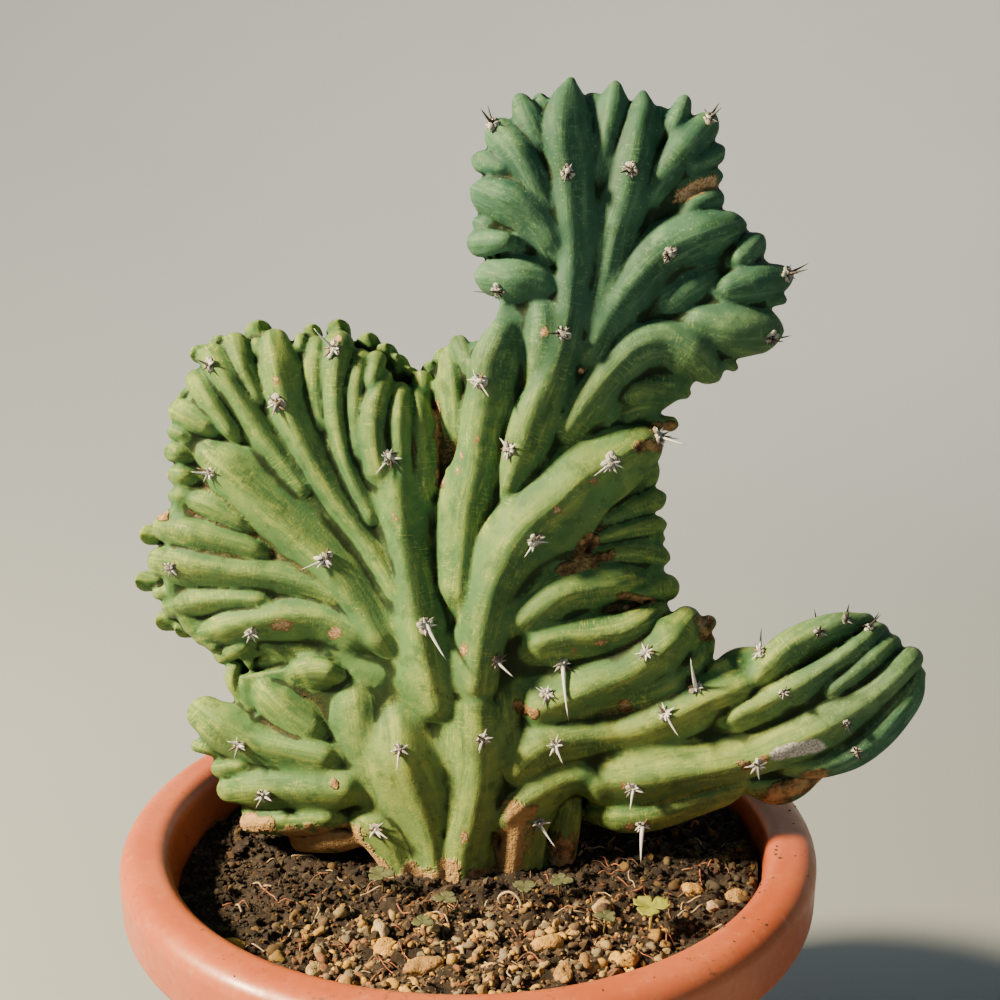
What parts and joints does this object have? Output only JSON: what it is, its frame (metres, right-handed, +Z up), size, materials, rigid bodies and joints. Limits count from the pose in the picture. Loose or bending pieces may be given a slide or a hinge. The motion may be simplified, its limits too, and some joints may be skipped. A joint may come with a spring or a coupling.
{
  "type": "potted crested myrtillocactus",
  "caption": "Crested myrtillocactus with fanned ribs, a side arm and short pale spines, rooted in gritty soil in a round rolled-rim terracotta-coloured pot.",
  "frame": {"origin": "centre of the pot's flat underside", "axes": "+Z up, +X to the right seen from the front of the plant, towards the side arm, +Y to the back"},
  "size_m": [0.3188, 0.28, 0.4853],
  "materials": {
    "pot": "terracotta-orange moulded plastic, slightly glossy",
    "soil": "dark, damp, gritty potting soil",
    "flesh": "waxy green cactus skin, bluer at the top, with brown cork at the foot and pale spines",
    "stone": "rough ochre and grey grit",
    "clover": "soft green leaves"
  },
  "bodies": {
    "root": {"pot": "pot", "soil": "soil", "cactus": "flesh", "stone_1": "stone", "stone_2": "stone", "stone_3": "stone", "stone_4": "stone", "stone_5": "stone", "stone_6": "stone", "stone_7": "stone", "stone_8": "stone", "stone_9": "stone", "stone_10": "stone", "stone_11": "stone", "stone_12": "stone", "stone_13": "stone", "stone_14": "stone", "stone_15": "stone", "clover_1": "clover", "clover_2": "clover", "clover_3": "clover", "clover_4": "clover", "clover_5": "clover", "clover_6": "clover", "clover_7": "clover"}
  },
  "joints": []
}
